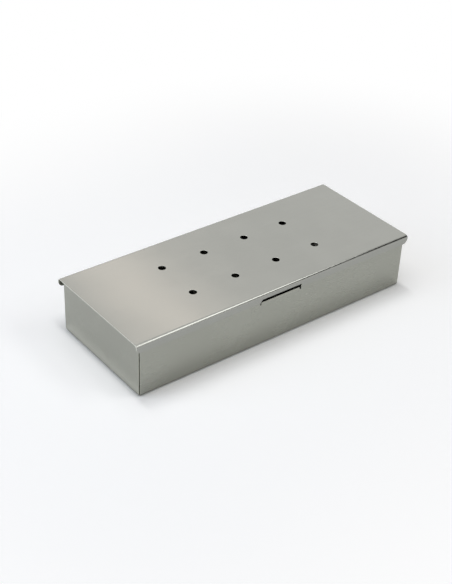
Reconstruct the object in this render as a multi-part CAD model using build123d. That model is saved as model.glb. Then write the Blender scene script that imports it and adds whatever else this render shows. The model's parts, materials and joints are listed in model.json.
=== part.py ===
from build123d import *
import os
from math import cos, radians, sin, sqrt

# A smoker box of folded stainless sheet: an open tray folded up from one blank, and a vented lid that
# swings up on two rear hinges. Millimetres, +Z up, +X to the right, the front at -Y.
# The origin is the middle of the tray's underside.

# Sheet of the tray and the lid, and the radius inside their folds
sheet = 0.6
bend_inner_radius = 1.6

# Tray, measured over the outside
tray_length = 230.0
tray_width = 90.0
tray_height = 40.6

# Open corners of the tray: each wall stops this far short of the next one's inner face. Where two folds
# meet at the foot of a corner, the seam closes in a mitre.
corner_gap = 0.2

# Finger cut-out in the front wall behind the lid's notch. Between two slits the low edge that is left
# curls inwards, starting this far below the lid's lip.
finger_edge_length = 33.6
finger_slit = 1.0
finger_edge_drop = 3.0
finger_edge_curl_radius = 3.0
finger_edge_lean_deg = 25.0
finger_edge_flat = 0.4

# Lid, with its lips measured from its top face
lid_end_overhang = 2.5
lid_rest_gap = 0.8
front_lip_gap = 0.6
rear_lip_gap = 1.6
front_lip_height = 6.3
rear_lip_height = 7.2
lip_corner_radius = 4.0

# Vents in the lid
vent_diameter = 5.5
vent_column_pitch = 35.5
vent_row_pitch = 35.5
vent_columns = 4
vent_rows = 2

# Lift notch in the front lip, narrower at its top than at its mouth
notch_depth = 2.3
notch_top_length = 34.0
notch_mouth_length = 37.4

# Hinges, with their middles this far in from the ends of the back wall
hinge_end_inset = 45.0
hinge_length = 30.0
leaf_thickness = 0.8
tray_leaf_height = 15.0
leaf_corner_radius = 2.0
lid_knuckle_length = 11.4
knuckle_side_gap = 0.3
knuckle_wall_gap = 0.3
pin_diameter = 2.0
pin_running_clearance = 0.05
pin_head_diameter = 3.2
pin_head_thickness = 0.8
pin_head_gap = 0.1

# Clearance around the knuckles for the lip and the leaves that swing past them
swing_gap = 0.4

# Shallow round marks that the hinges' spot welds leave
weld_mark_diameter = 3.2
weld_mark_depth = 0.12
tray_leaf_weld_spacing = 18.0
lid_leaf_weld_spacing = 20.0

# How far a cutting solid runs past what it cuts
overrun = 2.0

# Values that follow from the ones above
bend_outer_radius = bend_inner_radius + sheet
lid_length = tray_length + 2 * lid_end_overhang
lid_front_y = -tray_width / 2 - front_lip_gap - sheet
lid_back_y = tray_width / 2 + rear_lip_gap + sheet
lid_width = lid_back_y - lid_front_y
lid_middle_y = (lid_front_y + lid_back_y) / 2
lid_top_z = tray_height + lid_rest_gap + sheet
front_lip_bottom_z = lid_top_z - front_lip_height
rear_lip_bottom_z = lid_top_z - rear_lip_height
finger_curl_z = front_lip_bottom_z - finger_edge_drop
knuckle_radius = pin_diameter / 2 + pin_running_clearance + leaf_thickness
hinge_y = tray_width / 2 + knuckle_wall_gap + knuckle_radius
hinge_z = rear_lip_bottom_z - swing_gap - knuckle_radius
tray_knuckle_length = (hinge_length - lid_knuckle_length) / 2 - knuckle_side_gap

SIDES = {"left": -1, "right": 1}

YZ_MIDDLE = Plane(origin=(0, 0, 0), x_dir=(0, 1, 0), z_dir=(1, 0, 0))
XZ_MIDDLE = Plane(origin=(0, 0, 0), x_dir=(1, 0, 0), z_dir=(0, -1, 0))


def block(x_span, y_span, z_span):
    """A box given by its lowest and highest place along each axis."""
    low, high = zip(x_span, y_span, z_span)
    size = [b - a for a, b in zip(low, high)]
    middle = [(a + b) / 2 for a, b in zip(low, high)]
    return Pos(*middle) * Box(*size)


def rod(radius, length, middle):
    """A cylinder along X about its middle point."""
    return Pos(*middle) * Rot(0, 90, 0) * Cylinder(radius, length)


def weld_marks(places, facing):
    """Shallow discs, to be cut from a sheet, centred on places of its surface and square to it."""
    disc = Cylinder(weld_mark_diameter / 2, 2 * weld_mark_depth)
    return [Plane(origin=place, z_dir=facing) * disc for place in places]


def spread(count, pitch):
    """Places of a centred row with equal steps."""
    return [(i - (count - 1) / 2) * pitch for i in range(count)]


def finger_edge():
    """The strip under the finger cut-out: a rounded curl inwards that ends in a short flat."""
    outer_radius = finger_edge_curl_radius + sheet
    curl_centre = Vector(outer_radius - tray_width / 2, finger_curl_z)
    lean = radians(finger_edge_lean_deg)
    out = Vector(-cos(lean), sin(lean))
    up = Vector(sin(lean), cos(lean))
    half_out = Vector(-cos(lean / 2), sin(lean / 2))
    outer_start = curl_centre + Vector(-outer_radius, 0)
    outer_end = curl_centre + out * outer_radius
    inner_end = curl_centre + out * finger_edge_curl_radius
    inner_start = curl_centre + Vector(-finger_edge_curl_radius, 0)
    tip = up * finger_edge_flat
    edges = [
        ThreePointArc(outer_start, curl_centre + half_out * outer_radius, outer_end),
        Polyline(outer_end, outer_end + tip, inner_end + tip, inner_end),
        ThreePointArc(inner_end, curl_centre + half_out * finger_edge_curl_radius, inner_start),
        Line(inner_start, outer_start),
    ]
    section = make_face(Curve() + edges)
    return extrude(YZ_MIDDLE * section, finger_edge_length / 2, both=True)


def tray_shell():
    """The floor and four walls, folded up from one sheet, with open seams at the corners."""

    def pan(inset, bend_radius):
        half_length = tray_length / 2 - inset
        half_width = tray_width / 2 - inset
        x_span = (-half_length, half_length)
        solid = block(x_span, (-half_width, half_width), (inset, tray_height + overrun))
        return fillet(solid.faces().sort_by(Axis.Z)[0].edges(), bend_radius)

    shell = pan(0, bend_outer_radius) - pan(sheet, bend_inner_radius)
    above = (tray_height, tray_height + 2 * overrun)
    shell -= block((-tray_length, tray_length), (-tray_width, tray_width), above)

    corner_cut = sheet + corner_gap
    for x_side in SIDES.values():
        for y_side in SIDES.values():
            corner = (x_side * tray_length / 2, y_side * tray_width / 2)
            spans = [sorted((at - side * corner_cut, at + side * overrun))
                     for at, side in zip(corner, (x_side, y_side))]
            shell -= block(*spans, (-overrun, tray_height + overrun))

    cut_half = finger_edge_length / 2 + finger_slit
    wall_y = (-tray_width / 2 - overrun, -tray_width / 2 + sheet + overrun)
    shell -= block((-cut_half, cut_half), wall_y, (finger_curl_z, tray_height + overrun))
    return shell + finger_edge()


def lid():
    """The lid's folded sheet, with rounded lip ends, the vents and the lift notch."""
    deepest = max(front_lip_height, rear_lip_height) + overrun
    outer = Pos(0, -deepest / 2) * Rectangle(lid_width, deepest)
    outer = fillet(outer.vertices().group_by(Axis.Y)[-1], bend_outer_radius)
    inner = Pos(0, -sheet - deepest / 2) * Rectangle(lid_width - 2 * sheet, deepest)
    inner = fillet(inner.vertices().group_by(Axis.Y)[-1], bend_inner_radius)
    body = extrude(YZ_MIDDLE * (outer - inner), lid_length / 2, both=True)
    for lip_y, height in ((-lid_width / 2, front_lip_height), (lid_width / 2, rear_lip_height)):
        lip = Pos(0, -height / 2) * Rectangle(lid_length, height)
        lip = fillet(lip.vertices().group_by(Axis.Y)[0], lip_corner_radius)
        around = Pos(0, -deepest / 2) * Rectangle(lid_length + 2 * overrun, deepest + 2 * overrun)
        waste = extrude(XZ_MIDDLE * (around - lip), sheet + overrun, both=True)
        body -= Pos(0, lip_y, 0) * waste
    body = Pos(0, lid_middle_y, lid_top_z) * body

    for x in spread(vent_columns, vent_column_pitch):
        for y in spread(vent_rows, vent_row_pitch):
            vent = Cylinder(vent_diameter / 2, 2 * (sheet + overrun))
            body -= Pos(x, lid_middle_y + y, lid_top_z) * vent

    mouth_z = front_lip_bottom_z - overrun
    top_z = front_lip_bottom_z + notch_depth
    notch = Polyline(
        (-notch_top_length / 2, top_z),
        (notch_top_length / 2, top_z),
        (notch_mouth_length / 2, front_lip_bottom_z),
        (notch_mouth_length / 2, mouth_z),
        (-notch_mouth_length / 2, mouth_z),
        (-notch_mouth_length / 2, front_lip_bottom_z),
        close=True,
    )
    notch = Pos(0, lid_front_y, 0) * extrude(XZ_MIDDLE * make_face(notch), sheet + overrun, both=True)
    return body - notch


def pin_bore():
    """The hole through all three knuckles, at the middle of a hinge."""
    radius = pin_diameter / 2 + pin_running_clearance
    return rod(radius, hinge_length + 2 * overrun, (0, hinge_y, hinge_z))


def hinge_tray_leaf():
    """The fixed leaf, flat on the back wall, with a rolled knuckle at each end."""
    back_y = tray_width / 2
    half = hinge_length / 2
    plate = block((-half, half), (back_y, back_y + leaf_thickness), (hinge_z - tray_leaf_height, hinge_z))
    low_corners = plate.edges().filter_by(Axis.Y).group_by(Axis.Z)[0]
    leaf = fillet(low_corners, leaf_corner_radius)
    for side in SIDES.values():
        knuckle_x = side * (half - tray_knuckle_length / 2)
        leaf += rod(knuckle_radius, tray_knuckle_length, (knuckle_x, hinge_y, hinge_z))
    gap_half = lid_knuckle_length / 2 + knuckle_side_gap
    gap_z = (hinge_z - knuckle_radius - swing_gap, hinge_z + overrun)
    leaf -= block((-gap_half, gap_half), (back_y - overrun, hinge_y), gap_z)
    leaf -= pin_bore()
    weld_z = hinge_z - (knuckle_radius + tray_leaf_height) / 2
    places = [(x, back_y + leaf_thickness, weld_z) for x in spread(2, tray_leaf_weld_spacing)]
    return leaf - weld_marks(places, (0, 1, 0))


def hinge_lid_leaf():
    """The swinging leaf, flat inside the rear lip, with a rolled knuckle in the middle."""
    lip_y = tray_width / 2 + rear_lip_gap
    y_span = (lip_y - leaf_thickness, lip_y)
    half = hinge_length / 2
    low_z = hinge_z + knuckle_radius + swing_gap
    high_z = lid_top_z - sheet - bend_inner_radius
    leaf = block((-half, half), y_span, (low_z, high_z))
    neck_half = lid_knuckle_length / 2
    leaf += block((-neck_half, neck_half), y_span, (hinge_z, high_z))
    leaf += rod(knuckle_radius, lid_knuckle_length, (0, hinge_y, hinge_z))
    leaf -= pin_bore()
    places = [(x, lip_y - leaf_thickness, (low_z + high_z) / 2) for x in spread(2, lid_leaf_weld_spacing)]
    return leaf - weld_marks(places, (0, -1, 0))


def hinge_pin():
    """The pin, with a head outside each outer knuckle."""
    shank = hinge_length + 2 * pin_head_gap
    pin = rod(pin_diameter / 2, shank, (0, hinge_y, hinge_z))
    for side in SIDES.values():
        head_x = side * (shank + pin_head_thickness) / 2
        pin += rod(pin_head_diameter / 2, pin_head_thickness, (head_x, hinge_y, hinge_z))
    return pin


pieces = {"tray_shell": tray_shell(), "lid": lid()}
for name, side in SIDES.items():
    place = Pos(side * (tray_length / 2 - hinge_end_inset), 0, 0)
    pieces[f"{name}_hinge_tray_leaf"] = place * hinge_tray_leaf()
    pieces[f"{name}_hinge_lid_leaf"] = place * hinge_lid_leaf()
    pieces[f"{name}_hinge_pin"] = place * hinge_pin()

os.makedirs("parts", exist_ok=True)
for node, shape in pieces.items():
    export_step(shape, f"parts/{node}.step")

# The front lip draws in as the lid lifts. This is what is left of its gap when it passes the wall's top.
lip_reach = hinge_y - lid_front_y - sheet
lip_low = front_lip_bottom_z - hinge_z
wall_top = tray_height - hinge_z
drawn_in = lip_reach - sqrt(lip_reach**2 + lip_low**2 - wall_top**2)
print("front lip clearance as the lid lifts:", round(front_lip_gap - drawn_in, 3))
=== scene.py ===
import json
import math

import bmesh
import bpy
from mathutils import Matrix, Vector
from mathutils.geometry import delaunay_2d_cdt


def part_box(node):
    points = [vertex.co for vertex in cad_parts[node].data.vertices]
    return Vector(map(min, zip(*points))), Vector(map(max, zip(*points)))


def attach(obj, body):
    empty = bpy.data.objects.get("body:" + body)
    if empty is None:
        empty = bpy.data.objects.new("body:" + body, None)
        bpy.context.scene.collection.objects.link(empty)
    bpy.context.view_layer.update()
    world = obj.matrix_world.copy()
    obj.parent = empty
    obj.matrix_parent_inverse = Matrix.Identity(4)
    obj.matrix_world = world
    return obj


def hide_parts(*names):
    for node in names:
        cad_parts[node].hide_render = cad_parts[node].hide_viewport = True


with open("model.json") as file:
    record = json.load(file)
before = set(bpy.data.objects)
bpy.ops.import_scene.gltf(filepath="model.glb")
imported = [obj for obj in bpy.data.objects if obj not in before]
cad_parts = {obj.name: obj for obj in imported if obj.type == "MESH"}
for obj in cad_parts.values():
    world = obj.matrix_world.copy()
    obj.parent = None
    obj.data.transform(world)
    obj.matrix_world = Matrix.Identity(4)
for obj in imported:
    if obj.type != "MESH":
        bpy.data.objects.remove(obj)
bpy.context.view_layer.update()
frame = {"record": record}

# Tray: the floor and four walls of the box, folded up from one cross-shaped blank of thin stainless sheet.
# Its corners are open seams that close in a mitre at the foot. A cut-out in the front wall leaves a low
# edge, curled inwards, which gives a fingertip room behind the lid's notch.
sheet = 0.0006
edge_rounding = 0.00012
bend_radius = 0.0016
corner_gap = 0.0002
wall_end_round = 0.0004
finger_edge_length = 0.0336
finger_slit = 0.001
finger_slit_round = 0.00045
finger_corner_round = 0.0006
finger_curl_drop = 0.0079
finger_curl_radius = 0.003
finger_lean = math.radians(25)
finger_flat = 0.0004
seam_steps = 9
tray_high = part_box("tray_shell")[1]
right_angle = math.radians(90)


def walk(path, distance, depth, thickness):
    """Where a point of a blank lies once the blank is folded, as (along, across).

    A path is a list of (straight run, inner radius, turn), and what follows the last turn is straight.
    Distance is along the blank, and depth is from its first face. A positive turn closes on the second
    face, and a negative one on the first.
    """
    place = Vector((0, 0))
    heading = 0.0
    for run, radius, turn in path:
        along = Vector((math.cos(heading), math.sin(heading)))
        across = Vector((-math.sin(heading), math.cos(heading)))
        if distance <= run:
            return place + along * distance + across * depth
        distance -= run
        pivot = thickness + radius if turn > 0 else -radius
        centre = place + along * run + across * pivot
        turned = min(distance / (radius + thickness / 2), abs(turn))
        heading += math.copysign(turned, turn)
        across = Vector((-math.sin(heading), math.cos(heading)))
        if turned < abs(turn):
            return centre + across * (depth - pivot)
        distance -= (radius + thickness / 2) * turned
        place = centre - across * pivot
    along = Vector((math.cos(heading), math.sin(heading)))
    across = Vector((-math.sin(heading), math.cos(heading)))
    return place + along * distance + across * depth


def developed(path, thickness):
    """The length of blank that a path's runs and turns take up."""
    return sum(run + (radius + thickness / 2) * abs(turn) for run, radius, turn in path)


def fold_rows(path, thickness):
    """Distances along a blank at which its bends need a row of points."""
    row_angle = math.radians(10)
    rows = []
    for i, (run, radius, turn) in enumerate(path):
        start = developed(path[:i], thickness) + run
        arc = (radius + thickness / 2) * abs(turn)
        steps = math.ceil(abs(turn) / row_angle)
        rows += [start + arc * step / steps for step in range(steps + 1)]
    return rows


def both_ways(rows):
    """Rows on both sides of a blank's middle line."""
    return [side * row for row in rows for side in (-1, 1)]


def outline(corners):
    """Points of a closed outline from its corners, each given as (u, v, corner radius)."""
    arc_step = math.radians(12)
    points = []
    for i, (u, v, radius) in enumerate(corners):
        corner = Vector((u, v))
        back = (Vector(corners[i - 1][:2]) - corner).normalized()
        ahead = (Vector(corners[(i + 1) % len(corners)][:2]) - corner).normalized()
        half = back.angle(ahead) / 2
        centre = corner + (back + ahead).normalized() * radius / math.sin(half)
        start = corner + back * radius / math.tan(half) - centre
        end = corner + ahead * radius / math.tan(half) - centre
        sweep = math.copysign(math.pi - 2 * half, start.cross(end))
        steps = math.ceil(abs(sweep) / arc_step)
        turns = [sweep * step / steps for step in range(steps + 1)] if radius else [0]
        points += [centre + Matrix.Rotation(turn, 2) @ start for turn in turns]
    return points


def ring(centre, radius, points):
    """Points round a circle, clockwise, as the edge of a hole runs."""
    turns = [-2 * math.pi * i / points for i in range(points)]
    return [Vector(centre) + radius * Vector((math.cos(turn), math.sin(turn))) for turn in turns]


def drawn_in(loop, inset):
    """A loop moved towards the sheet's own side of its edge."""
    moved = []
    for i, point in enumerate(loop):
        before = (point - loop[i - 1]).normalized().orthogonal()
        after = (loop[(i + 1) % len(loop)] - point).normalized().orthogonal()
        normal = before + after
        moved.append(point + normal * (2 * inset / normal.length_squared))
    return moved


def within(loops, point):
    """Whether a point lies on the sheet, inside its rim and outside its holes."""
    inside = False
    for loop in loops:
        for a, b in zip(loop, loop[1:] + loop[:1]):
            if (a.y > point.y) != (b.y > point.y):
                inside ^= point.x < a.x + (point.y - a.y) * (b.x - a.x) / (b.y - a.y)
    return inside


# Cut edges are rounded, and a spot weld leaves a shallow round dent with a straw-coloured ring.
edge_steps = 2
face_skin = edge_rounding / 10
weld_mark_radius = 0.0016
weld_mark_depth = 0.00012
weld_tint_reach = 0.0045
weld_ring_shares = (1.0, 1.25, 1.7, weld_tint_reach / weld_mark_radius)
weld_ring_points = 24
weld_ring_clearance = 4 * edge_rounding
merge_distance = 1e-9
row_tolerance = 1e-7


def folded_piece(name, thickness, loops, place, rows_u, rows_v, welds, marked_face=1):
    """A piece of sheet: a blank with rounded edges is cut, marked by its welds, and folded.

    The first loop is the blank's rim, anticlockwise, and the others are its holes, clockwise. Place takes
    a point of the blank (u, v, depth) to the finished piece. Rows of points are added at rows_u and rows_v.
    The welds' dents are in the first face, 0, or in the second, 1.
    """
    mesh = bmesh.new()
    heat = mesh.verts.layers.float.new("weld_heat")
    cut = mesh.verts.layers.float.new("cut_edge")
    turns = [right_angle * step / edge_steps for step in range(edge_steps + 1)]
    profile = [(edge_rounding * (1 - math.sin(a)), edge_rounding * (1 - math.cos(a))) for a in turns]
    profile += [(inset, thickness - depth) for inset, depth in reversed(profile)]
    layers = []
    for inset, depth in profile:
        layers.append([[mesh.verts.new((*p, depth)) for p in drawn_in(loop, inset)] for loop in loops])
    for lower, upper in zip(layers, layers[1:]):
        for low, high in zip(lower, upper):
            for i in range(len(low)):
                mesh.faces.new((low[i - 1], low[i], high[i], high[i - 1]))

    clear_of_rim = [drawn_in(loop, weld_ring_clearance) for loop in loops]
    for layer in (layers[0], layers[-1]):
        depth = layer[0][0].co.z
        verts = []
        edges = []
        for loop in layer:
            first = len(verts)
            edges += [(first + i, first + (i + 1) % len(loop)) for i in range(len(loop))]
            verts += loop
        for weld in welds:
            for share in weld_ring_shares:
                points = ring(weld, weld_mark_radius * share, weld_ring_points)
                verts += [mesh.verts.new((*p, depth)) for p in points if within(clear_of_rim, p)]
        flat = [vert.co.xy for vert in verts]
        bounds = [[vert.co.xy for vert in loop] for loop in layer]
        faces = delaunay_2d_cdt(flat, edges, [], 0, merge_distance)[2]
        for face in faces:
            if within(bounds, sum((flat[i] for i in face), Vector((0, 0))) / len(face)):
                mesh.faces.new([verts[i] for i in face])

    for axis, rows in ((Vector((1, 0, 0)), rows_u), (Vector((0, 1, 0)), rows_v)):
        for row in rows:
            parts = mesh.verts[:] + mesh.edges[:] + mesh.faces[:]
            bmesh.ops.bisect_plane(mesh, geom=parts, dist=row_tolerance, plane_co=axis * row, plane_no=axis)
    dent = weld_mark_depth * (-1 if marked_face else 1)
    for vert in mesh.verts:
        u, v, depth = vert.co
        away = min((vert.co.xy - Vector(weld)).length for weld in welds)
        vert[heat] = max(0.0, 1 - away / weld_tint_reach)
        vert[cut] = float(face_skin < depth < thickness - face_skin)
        on_marked_face = abs(depth - marked_face * thickness) < face_skin
        if on_marked_face and away < weld_mark_radius + face_skin:
            depth += dent
        vert.co = place(u, v, depth)
    bmesh.ops.recalc_face_normals(mesh, faces=mesh.faces[:])
    return finished(name, mesh)


def finished(name, mesh):
    """A mesh made into an object of the scene, with smooth folds and even flats."""
    for face in mesh.faces:
        face.smooth = True
    data = bpy.data.meshes.new(name)
    mesh.to_mesh(data)
    mesh.free()
    piece = bpy.data.objects.new(name, data)
    bpy.context.scene.collection.objects.link(piece)
    shading = piece.modifiers.new("even shading", "WEIGHTED_NORMAL")
    larger_face_weight = 100
    shading.weight = larger_face_weight
    return piece


def dressed(piece, material, body, node):
    """Gives a piece its material, the body that carries it and the node that it stands for."""
    piece.data.materials.append(material)
    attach(piece, body)
    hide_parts(node)


class Shade:
    """A socket on its way to a shader. Arithmetic on values adds Math nodes."""

    def __init__(self, tree, socket=None):
        self.tree = tree
        self.socket = socket

    def node(self, kind, settings=None, inputs=None, output=0):
        """Adds a node. Its settings are set first, then the value or link of each input."""
        made = self.tree.nodes.new("ShaderNode" + kind)
        for key, value in (settings or {}).items():
            setattr(made, key, value)
        for key, value in (inputs or {}).items():
            if isinstance(value, Shade):
                self.tree.links.new(value.socket, made.inputs[key])
            else:
                made.inputs[key].default_value = value
        return Shade(self.tree, made.outputs[output] if made.outputs else None)

    def maths(self, operation, first, second):
        """Adds a Math node."""
        return self.node("Math", {"operation": operation}, {0: first, 1: second})

    def __add__(self, other):
        return self.maths("ADD", self, other)

    def __radd__(self, other):
        return self.maths("ADD", other, self)

    def __sub__(self, other):
        return self.maths("SUBTRACT", self, other)

    def __rsub__(self, other):
        return self.maths("SUBTRACT", other, self)

    def __mul__(self, other):
        return self.maths("MULTIPLY", self, other)

    def __rmul__(self, other):
        return self.maths("MULTIPLY", other, self)

    def between(self, low, high):
        """This value's place between two limits, eased, as a mask from 0 to 1."""
        settings = {"interpolation_type": "SMOOTHSTEP"}
        return self.node("MapRange", settings, {"Value": self, "From Min": low, "From Max": high})

    def mix(self, first, second):
        """Two colours mixed by this mask. A Mix node takes colours at 6 and 7 and gives one at 2."""
        return self.node("Mix", {"data_type": "RGBA"}, {0: self, 6: first, 7: second}, output=2)


def satin_steel(name, colour, grain, roughness, edge_highlight_share=1.4):
    """Stainless sheet with a faint brushed face and paler cut edges.

    Grain is the brushing's stretch along X, Y and Z, and a cut edge is the edge share times as bright as a
    face.
    The paler edge is partly bare cut metal and partly a painted highlight.
    """
    material = bpy.data.materials.new(name)
    material.use_nodes = True
    material.node_tree.nodes.clear()
    shade = Shade(material.node_tree)
    place = shade.node("TexCoord", output="Object")

    def noise(stretch, per_metre, detail):
        """Noise with so many features to a metre, drawn out where the stretch is small."""
        scale = [axis * per_metre for axis in stretch]
        vector = shade.node("VectorMath", {"operation": "MULTIPLY"}, {0: place, 1: scale})
        return shade.node("TexNoise", None, {"Vector": vector, "Scale": 1.0, "Detail": detail})

    def tone(share, tint=(1, 1, 1)):
        """The steel's colour, made lighter or darker by a share, and tinted."""
        return (*(channel * share * part for channel, part in zip(colour, tint)), 1)

    even = (1, 1, 1)
    hairlines = noise(grain, per_metre=2600, detail=2.0)
    streaks = noise(grain, per_metre=500, detail=2.0)
    clouds = noise(even, per_metre=38, detail=3.0)
    waves = noise(even, per_metre=11, detail=1.0)
    noise_middle = 0.5

    hairline_share = 0.15
    streak_share = 0.2
    cloud_share = 0.65
    mottle_depth = 0.025
    blotches = hairline_share * hairlines + streak_share * streaks + cloud_share * clouds
    mottle = blotches.between(low=0.3, high=0.7)
    face = mottle.mix(tone(1 - mottle_depth), tone(1 + mottle_depth))
    cut_edge = shade.node("Attribute", {"attribute_name": "cut_edge"}, output="Fac")
    # The cut edges are made paler: partly bare cut metal, partly a painted highlight where an edge catches
    # light.
    edge_highlighted = cut_edge.mix(face, tone(edge_highlight_share))
    heat = shade.node("Attribute", {"attribute_name": "weld_heat"}, output="Fac")
    straw_tint = (0.86, 0.70, 0.50)
    straw_strength = 0.75
    straw = straw_strength * heat.between(low=0.05, high=0.6)
    tinted = straw.mix(edge_highlighted, tone(1.0, straw_tint))

    hairline_dulling = 0.05
    cloud_dulling = 0.06
    dulled = hairline_dulling * (hairlines - noise_middle) + cloud_dulling * (clouds - noise_middle)
    hairline_relief = 0.0025
    streak_relief = 0.004
    wave_height = 0.0007
    relief = waves + hairline_relief * hairlines + streak_relief * streaks
    normal = shade.node("Bump", None, {"Strength": 1.0, "Distance": wave_height, "Height": relief})
    surface = shade.node("BsdfPrincipled", None, {
        "Base Color": tinted, "Metallic": 1.0, "Roughness": roughness + dulled, "Normal": normal,
    })
    shade.node("OutputMaterial", None, {"Surface": surface})
    return material


floor_half_length = tray_high.x - sheet - bend_radius
floor_half_width = tray_high.y - sheet - bend_radius
wall_rise = tray_high.z - sheet - bend_radius
end_path = [(floor_half_length, bend_radius, right_angle)]
wall_path = [(floor_half_width, bend_radius, right_angle)]
finger_path = wall_path + [(wall_rise - finger_curl_drop, finger_curl_radius, finger_lean)]
finger_half = finger_edge_length / 2
finger_cut_half = finger_half + finger_slit


def tray_place(u, v, depth):
    """Folds the blank's four flaps up, and curls the low edge behind the notch."""
    if abs(u) - floor_half_length > abs(v) - floor_half_width:
        along, across = walk(end_path, abs(u), depth, sheet)
        return math.copysign(along, u), v, across
    curled = v < 0 and abs(u) < finger_half + finger_slit / 2
    along, across = walk(finger_path if curled else wall_path, abs(v), depth, sheet)
    return u, math.copysign(along, v), across


wall_tip = developed(wall_path, sheet) + wall_rise
end_tip = developed(end_path, sheet) + wall_rise
seam_reach = bend_radius - corner_gap
seam_turns = [right_angle * step / seam_steps for step in range(seam_steps + 1)]
seam_edge = [(seam_reach * math.sin(turn), (bend_radius + sheet / 2) * turn) for turn in seam_turns]
tray_corner = [
    (floor_half_length + seam_reach, wall_tip, wall_end_round),
    *((floor_half_length + inset, floor_half_width + rise, 0.0) for inset, rise in reversed(seam_edge[1:])),
    *((floor_half_length + rise, floor_half_width + inset, 0.0) for inset, rise in seam_edge),
    (end_tip, floor_half_width + seam_reach, wall_end_round),
]


def quarter_rim(u_side, v_side):
    """One open corner of the blank, in the rim's anticlockwise order."""
    corners = [(u_side * u, v_side * v, radius) for u, v, radius in tray_corner]
    return corners if u_side * v_side < 0 else corners[::-1]


slit_end = developed(finger_path[:1], sheet) + finger_path[1][0]
finger_tip = developed(finger_path, sheet) + finger_flat
finger_cut = [
    (-finger_cut_half, -wall_tip, wall_end_round),
    (-finger_cut_half, -slit_end, finger_slit_round),
    (-finger_half, -slit_end, finger_slit_round),
    (-finger_half, -finger_tip, finger_corner_round),
    (finger_half, -finger_tip, finger_corner_round),
    (finger_half, -slit_end, finger_slit_round),
    (finger_cut_half, -slit_end, finger_slit_round),
    (finger_cut_half, -wall_tip, wall_end_round),
]
tray_rim = quarter_rim(1, 1) + quarter_rim(-1, 1) + quarter_rim(-1, -1) + finger_cut + quarter_rim(1, -1)

# The hinges' spot welds have marked the back wall. Their places are measured from the hinge nodes.
tray_leaf_weld_half = 0.009
tray_leaf_weld_rise = 0.006575
tray_leaf_boxes = {side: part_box(f"{side}_hinge_tray_leaf") for side in ("left", "right")}
tray_welds = [
    ((low.x + high.x) / 2 + step * tray_leaf_weld_half,
     developed(wall_path, sheet) + low.z + tray_leaf_weld_rise - sheet - bend_radius)
    for low, high in tray_leaf_boxes.values() for step in (-1, 1)
]
tray = folded_piece(
    "folded_tray", sheet, [outline(tray_rim)], tray_place,
    both_ways(fold_rows(end_path, sheet)), both_ways(fold_rows(finger_path, sheet)), tray_welds,
)
tray_colour = (0.330, 0.335, 0.297)
along_x = (0.03, 1, 1)
tray_steel = satin_steel("tray sheet", tray_colour, along_x, roughness=0.27)
dressed(tray, tray_steel, "tray", "tray_shell")

# Lid: one blank of the same sheet with its front and rear lips folded down, eight punched vents in two
# rows, and a notch in the front lip for a fingertip. The lips' ends are rounded off.
front_lip_height = 0.0063
lip_corner_radius = 0.004
vent_radius = 0.00275
vent_pitch = 0.0355
vent_columns = 4
vent_rows = 2
vent_points = 48
notch_depth = 0.0023
notch_top_half = 0.017
notch_mouth_half = 0.0187
notch_corner_round = 0.0004
lid_low, lid_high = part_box("lid")
lid_middle_y = (lid_low.y + lid_high.y) / 2
lid_half_length = lid_high.x
lid_flat_half = (lid_high.y - lid_low.y) / 2 - sheet - bend_radius
lid_path = [(lid_flat_half, bend_radius, right_angle)]
rear_tip = developed(lid_path, sheet) + lid_high.z - lid_low.z - sheet - bend_radius
front_tip = developed(lid_path, sheet) + front_lip_height - sheet - bend_radius


def lid_place(u, v, depth):
    """Folds the two lips down."""
    along, across = walk(lid_path, abs(v), depth, sheet)
    return u, lid_middle_y + math.copysign(along, v), lid_high.z - across


lid_rim = outline([
    (-lid_half_length, -front_tip, lip_corner_radius),
    (-notch_mouth_half, -front_tip, notch_corner_round),
    (-notch_top_half, -front_tip + notch_depth, notch_corner_round),
    (notch_top_half, -front_tip + notch_depth, notch_corner_round),
    (notch_mouth_half, -front_tip, notch_corner_round),
    (lid_half_length, -front_tip, lip_corner_radius),
    (lid_half_length, rear_tip, lip_corner_radius),
    (-lid_half_length, rear_tip, lip_corner_radius),
])
vent_columns_u = [(column - (vent_columns - 1) / 2) * vent_pitch for column in range(vent_columns)]
vent_rows_v = [(row - (vent_rows - 1) / 2) * vent_pitch for row in range(vent_rows)]
vents = [ring((u, v), vent_radius, vent_points) for u in vent_columns_u for v in vent_rows_v]
lid_leaf_weld_half = 0.010
lid_leaf_weld_drop = 0.0047
lid_leaf_boxes = {side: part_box(f"{side}_hinge_lid_leaf") for side in ("left", "right")}
lid_welds = [
    ((low.x + high.x) / 2 + step * lid_leaf_weld_half,
     developed(lid_path, sheet) + lid_leaf_weld_drop - sheet - bend_radius)
    for low, high in lid_leaf_boxes.values() for step in (-1, 1)
]
lid = folded_piece(
    "folded_lid", sheet, [lid_rim, *vents], lid_place, [], both_ways(fold_rows(lid_path, sheet)),
    lid_welds, marked_face=0,
)
lid_colour = (0.328, 0.331, 0.306)
# The lid's cut edges are painted twice as bright as its face, a painted highlight along its rims.
lid_steel = satin_steel("lid sheet", lid_colour, along_x, roughness=0.16, edge_highlight_share=2.0)
dressed(lid, lid_steel, "lid", "lid")

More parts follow.
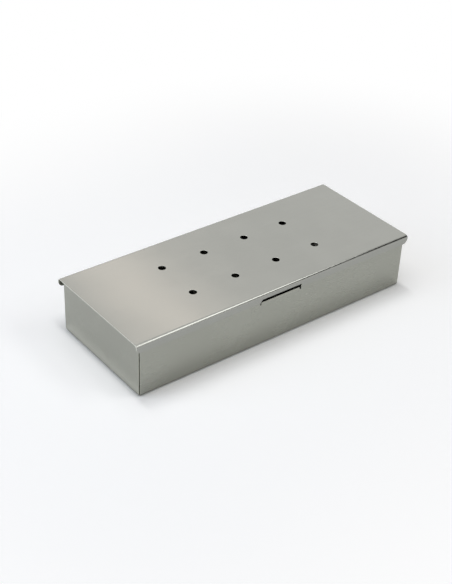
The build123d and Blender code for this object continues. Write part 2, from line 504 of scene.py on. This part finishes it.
# Hinge leaves: short strips of stainless, rolled round the pin at one edge. One leaf of each hinge is
# spot-welded to the back wall with a knuckle at each end, and the other inside the rear lip with one
# knuckle between them.
leaf_thickness = 0.0008
leaf_bend_radius = 0.0003
leaf_lean = math.radians(20)
knuckle_bore_radius = 0.00105
tray_leaf_roll = math.radians(285)
lid_leaf_roll = math.radians(290)
leaf_corner_round = 0.002
leaf_tip_round = 0.0003
lid_leaf_corner_round = 0.001
lid_knuckle_half = 0.0057
knuckle_gap_half = 0.006
knuckle_gap_drop = 0.00225
hinge_y, hinge_z = frame["record"]["behaviour"]["joints"][0]["pos_m"][1:]
knuckle_radius = knuckle_bore_radius + leaf_thickness
lean_radius = leaf_bend_radius + leaf_thickness
lean_out = lean_radius * (1 - math.cos(leaf_lean))
lean_rise = lean_radius * math.sin(leaf_lean)
hinge_colour = (0.37, 0.37, 0.355)
hinge_steel = satin_steel("hinge strip", hinge_colour, along_x, roughness=0.30)

for side, (leaf_low, leaf_high) in tray_leaf_boxes.items():
    middle_x = (leaf_low.x + leaf_high.x) / 2
    leaf_half = (leaf_high.x - leaf_low.x) / 2
    slope = (hinge_y - leaf_low.y - knuckle_radius * math.cos(leaf_lean) - lean_out) / math.sin(leaf_lean)
    roll_start = hinge_z + knuckle_radius * math.sin(leaf_lean)
    upright = roll_start - slope * math.cos(leaf_lean) - lean_rise - leaf_low.z
    leaf_path = [(upright, leaf_bend_radius, leaf_lean), (slope, knuckle_bore_radius, tray_leaf_roll)]
    leaf_tip = developed(leaf_path, leaf_thickness)
    gap_foot = hinge_z - knuckle_gap_drop - leaf_low.z

    def tray_leaf_place(u, v, depth):
        """Stands the leaf on the back wall and rolls its upper edge outwards."""
        along, across = walk(leaf_path, v, depth, leaf_thickness)
        return middle_x + u, leaf_low.y + across, leaf_low.z + along

    leaf_rim = outline([
        (-leaf_half, 0.0, leaf_corner_round),
        (leaf_half, 0.0, leaf_corner_round),
        (leaf_half, leaf_tip, leaf_tip_round),
        (knuckle_gap_half, leaf_tip, leaf_tip_round),
        (knuckle_gap_half, gap_foot, leaf_tip_round),
        (-knuckle_gap_half, gap_foot, leaf_tip_round),
        (-knuckle_gap_half, leaf_tip, leaf_tip_round),
        (-leaf_half, leaf_tip, leaf_tip_round),
    ])
    leaf_welds = [(step * tray_leaf_weld_half, tray_leaf_weld_rise) for step in (-1, 1)]
    leaf = folded_piece(
        f"{side}_rolled_tray_leaf", leaf_thickness, [leaf_rim], tray_leaf_place,
        [], fold_rows(leaf_path, leaf_thickness), leaf_welds,
    )
    dressed(leaf, hinge_steel, "tray", f"{side}_hinge_tray_leaf")

lip_inner_y = lid_high.y - sheet
for side, (leaf_low, leaf_high) in lid_leaf_boxes.items():
    middle_x = (leaf_low.x + leaf_high.x) / 2
    leaf_half = (leaf_high.x - leaf_low.x) / 2
    roll_out = lip_inner_y - hinge_y + knuckle_bore_radius * math.cos(leaf_lean)
    slope = (roll_out - lean_out) / math.sin(leaf_lean)
    roll_drop = leaf_high.z - hinge_z - knuckle_bore_radius * math.sin(leaf_lean)
    upright = roll_drop - slope * math.cos(leaf_lean) - lean_rise
    leaf_path = [(upright, leaf_bend_radius, leaf_lean), (slope, knuckle_bore_radius, -lid_leaf_roll)]
    leaf_tip = developed(leaf_path, leaf_thickness)
    plate = leaf_high.z - lid_low.z

    def lid_leaf_place(u, v, depth):
        """Hangs the leaf inside the rear lip and rolls its lower edge outwards under the pin."""
        along, across = walk(leaf_path, v, depth, leaf_thickness)
        return middle_x + u, lip_inner_y - across, leaf_high.z - along

    leaf_rim = outline([
        (-leaf_half, 0.0, leaf_tip_round),
        (leaf_half, 0.0, leaf_tip_round),
        (leaf_half, plate, lid_leaf_corner_round),
        (lid_knuckle_half, plate, leaf_tip_round),
        (lid_knuckle_half, leaf_tip, leaf_tip_round),
        (-lid_knuckle_half, leaf_tip, leaf_tip_round),
        (-lid_knuckle_half, plate, leaf_tip_round),
        (-leaf_half, plate, lid_leaf_corner_round),
    ])
    weld_drop = lid_leaf_weld_drop - (lid_high.z - leaf_high.z)
    leaf_welds = [(step * lid_leaf_weld_half, weld_drop) for step in (-1, 1)]
    leaf = folded_piece(
        f"{side}_rolled_lid_leaf", leaf_thickness, [leaf_rim], lid_leaf_place,
        [], fold_rows(leaf_path, leaf_thickness), leaf_welds,
    )
    dressed(leaf, hinge_steel, "lid", f"{side}_hinge_lid_leaf")

# Hinge pins: two pieces of drawn stainless wire, one through the three knuckles of each hinge. Both ends are
# peened to a low dome, which keeps the pin in, and the pin stays with the tray when the lid swings.
pin_radius = 0.001
pin_head_radius = 0.0016
pin_head_thickness = 0.0008
pin_rim_share = 1 / 3
pin_edge_round = 0.0001
pin_points = 40
dome_steps = 6
pin_colour = (0.42, 0.42, 0.41)
pin_steel = satin_steel("pin wire", pin_colour, along_x, roughness=0.22)
for side in ("left", "right"):
    pin_node = f"{side}_hinge_pin"
    pin_low, pin_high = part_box(pin_node)
    middle_x = (pin_low.x + pin_high.x) / 2
    pin_half = (pin_high.x - pin_low.x) / 2
    shank_half = pin_half - pin_head_thickness
    rim = shank_half + pin_rim_share * pin_head_thickness
    dome = [right_angle * step / dome_steps for step in range(dome_steps)]
    half_profile = [
        (shank_half - pin_edge_round, pin_radius),
        (shank_half, pin_radius + pin_edge_round),
        (shank_half, pin_head_radius - pin_edge_round),
        (shank_half + pin_edge_round, pin_head_radius),
        *((rim + (pin_half - rim) * math.sin(a), pin_head_radius * math.cos(a)) for a in dome),
    ]
    profile = [(-x, radius) for x, radius in reversed(half_profile)] + half_profile

    pin_mesh = bmesh.new()
    turns = [2 * math.pi * i / pin_points for i in range(pin_points)]
    rings = []
    for x, radius in profile:
        round_points = [(hinge_y + radius * math.cos(a), hinge_z + radius * math.sin(a)) for a in turns]
        rings.append([pin_mesh.verts.new((middle_x + x, y, z)) for y, z in round_points])
    for low, high in zip(rings, rings[1:]):
        for i in range(pin_points):
            pin_mesh.faces.new((low[i - 1], low[i], high[i], high[i - 1]))
    for end, loop in ((-1, rings[0]), (1, rings[-1])):
        top = pin_mesh.verts.new((middle_x + end * pin_half, hinge_y, hinge_z))
        for i in range(pin_points):
            pin_mesh.faces.new((loop[i - 1], loop[i], top))
    bmesh.ops.recalc_face_normals(pin_mesh, faces=pin_mesh.faces[:])
    dressed(finished(f"{side}_peened_pin", pin_mesh), pin_steel, "tray", pin_node)

# Floor: a wide sheet of pale paper that the box lies on, a stage and no piece of the box. It keeps the soft
# shadow near the box, shows as white further off, and close to the walls looks lighter to mirror-like rays,
# so that the steel does not mirror the shadow too darkly. Its glow fades out towards the walls, which paints
# extra shadow at the box's foot.
floor_half = 4.0
floor_data = bpy.data.meshes.new("floor")
floor_corners = [(x * floor_half, y * floor_half, 0) for x, y in ((-1, -1), (1, -1), (1, 1), (-1, 1))]
floor_data.from_pydata(floor_corners, [], [(0, 1, 2, 3)])
floor = bpy.data.objects.new("floor", floor_data)
bpy.context.scene.collection.objects.link(floor)


def ray_is(shade, kind):
    """1 for a ray of one kind, and 0 for any other."""
    return shade.node("LightPath", output=f"Is {kind} Ray")


def seen_directly(shade):
    """1 for a ray that shows the surroundings as a picture, and 0 for one that gathers light."""
    return ray_is(shade, "Camera") + ray_is(shade, "Glossy") + ray_is(shade, "Transmission")


floor_paint = bpy.data.materials.new("floor paper")
floor_paint.use_nodes = True
floor_paint.node_tree.nodes.clear()
paper = Shade(floor_paint.node_tree)
black = (0, 0, 0, 1)
white = (1, 1, 1, 1)
paper_colour = (0.94, 0.94, 0.94, 1)
paper_glow = 0.2
mirrored_fill = 0.7
mirrored_fill_reach = 0.008
painted_contact_shadow_reach = (0.005, 0.02, 1)
shadow_reach = 0.06
white_reach = 0.32
seen = seen_directly(paper)
spot = paper.node("TexCoord", output="Object")
beside = paper.node("VectorMath", {"operation": "ABSOLUTE"}, {0: spot})
beyond = paper.node("VectorMath", {"operation": "SUBTRACT"}, {0: beside, 1: tray_high})
clear = paper.node("VectorMath", {"operation": "MAXIMUM"}, {0: beyond, 1: (0, 0, 0)})
away = paper.node("VectorMath", {"operation": "LENGTH"}, {0: clear}, output="Value")
# Within a few millimetres of the walls the glow fades out, which paints a contact shadow on the floor.
shares = paper.node("VectorMath", {"operation": "DIVIDE"}, {0: clear, 1: painted_contact_shadow_reach})
clear_of_painted_shadow = paper.node("VectorMath", {"operation": "LENGTH"}, {0: shares}, output="Value")
beside_walls = 1 - away.between(low=0.0, high=mirrored_fill_reach)
fill = mirrored_fill * ray_is(paper, "Glossy") * beside_walls
glow_level = (paper_glow * seen + fill) * clear_of_painted_shadow.between(low=0.0, high=1.0)
diffuse = paper.node("BsdfDiffuse", None, {"Color": paper_colour})
glow = paper.node("Emission", None, {"Color": glow_level.mix(black, white)})
near = paper.node("AddShader", None, {0: diffuse, 1: glow})
far = paper.node("Emission", None, {"Color": seen.mix(black, white)})
blend = paper.node("MixShader", None, {0: away.between(shadow_reach, white_reach), 1: near, 2: far})
paper.node("OutputMaterial", None, {"Surface": blend})
floor_data.materials.append(floor_paint)

# Light: an even pale room with one dim end, and five soft lamps. They are a box overhead, a large box behind
# for the lid's top, a strip for the lid's front fold, a box at the left, and a narrow strip that shows as a
# band on the lid.
room = bpy.data.worlds.new("pale room")
bpy.context.scene.world = room
room.use_nodes = True
room.cycles.sampling_method = "NONE"
room.node_tree.nodes.clear()
air = Shade(room.node_tree)
room_light = 0.15
dim_end_azimuth = math.radians(127)
dim_end_rise = math.radians(37)
dim_end_core = math.radians(17)
dim_end_reach = math.radians(26)
dim_end = (
    math.sin(dim_end_azimuth) * math.cos(dim_end_rise),
    math.cos(dim_end_azimuth) * math.cos(dim_end_rise),
    math.sin(dim_end_rise),
)
direction = air.node("TexCoord", output="Generated")
towards = air.node("VectorMath", {"operation": "DOT_PRODUCT"}, {0: direction, 1: dim_end}, output="Value")
dimmed = towards.between(math.cos(dim_end_reach), math.cos(dim_end_core))
mirrored = 1 - ray_is(air, "Camera")
level = room_light + (1 - room_light - dimmed * mirrored) * seen_directly(air)
backdrop = air.node("Background", None, {"Color": level.mix(black, white)})
air.node("OutputWorld", None, {"Surface": backdrop})


def soft_lamp(name, radiance, size, place, target, tint=(1, 1, 1)):
    """A flat rectangular lamp with an even face, aimed at a point."""
    lamp = bpy.data.lights.new(name, "AREA")
    lamp.shape = "RECTANGLE"
    lamp.size = size[0]
    lamp.size_y = size[1]
    lamp.color = tint
    lamp.energy = radiance * math.pi * size[0] * size[1]
    holder = bpy.data.objects.new(name, lamp)
    holder.location = place
    aim = Vector(target) - Vector(place)
    holder.rotation_euler = aim.to_track_quat("-Z", "Y").to_euler()
    bpy.context.scene.collection.objects.link(holder)


soft_lamp("top box", radiance=2.0, size=(1.1, 1.0), place=(-0.17, 0.1, 1.2), target=(-0.17, 0.1, 0))
soft_lamp("back box", radiance=0.13, size=(1.8, 1.8), place=(1.12, 1.29, 1.38), target=(0, 0, 0))
soft_lamp("front strip", radiance=3.2, size=(0.46, 1.2), place=(0.66, -0.9, 1.04), target=(0.66, -0.9, 0))
soft_lamp(
    "left box", radiance=1.35, size=(1.0, 1.0), place=(-1.05, 0.34, 0.75), target=(0, 0, 0),
    tint=(0.88, 0.96, 1.1),
)
soft_lamp(
    "back right strip", radiance=0.87, size=(0.13, 0.7), place=(0.74, 1.18, 1.04), target=(0.74, 1.18, 0),
    tint=(1.0, 0.85, 0.77),
)

# Camera: a long lens that looks down on the front left corner and is held a little off level. Its place and
# lens were fitted to the photographed corners, vents and outline.
lens = bpy.data.cameras.new("camera")
lens.lens = 72.09
lens.sensor_width = 36.0
camera = bpy.data.objects.new("camera", lens)
eye = Vector((-0.4390, -0.5271, 0.4732))
target = Vector((-0.0156, -0.0054, 0.0210))
roll = math.radians(2.58)
aim = (target - eye).to_track_quat("-Z", "Y").to_matrix()
camera.matrix_world = Matrix.Translation(eye) @ (aim @ Matrix.Rotation(roll, 3, "Z")).to_4x4()
bpy.context.scene.collection.objects.link(camera)
bpy.context.scene.camera = camera
bpy.context.scene.view_settings.view_transform = "Standard"

bpy.context.view_layer.update()
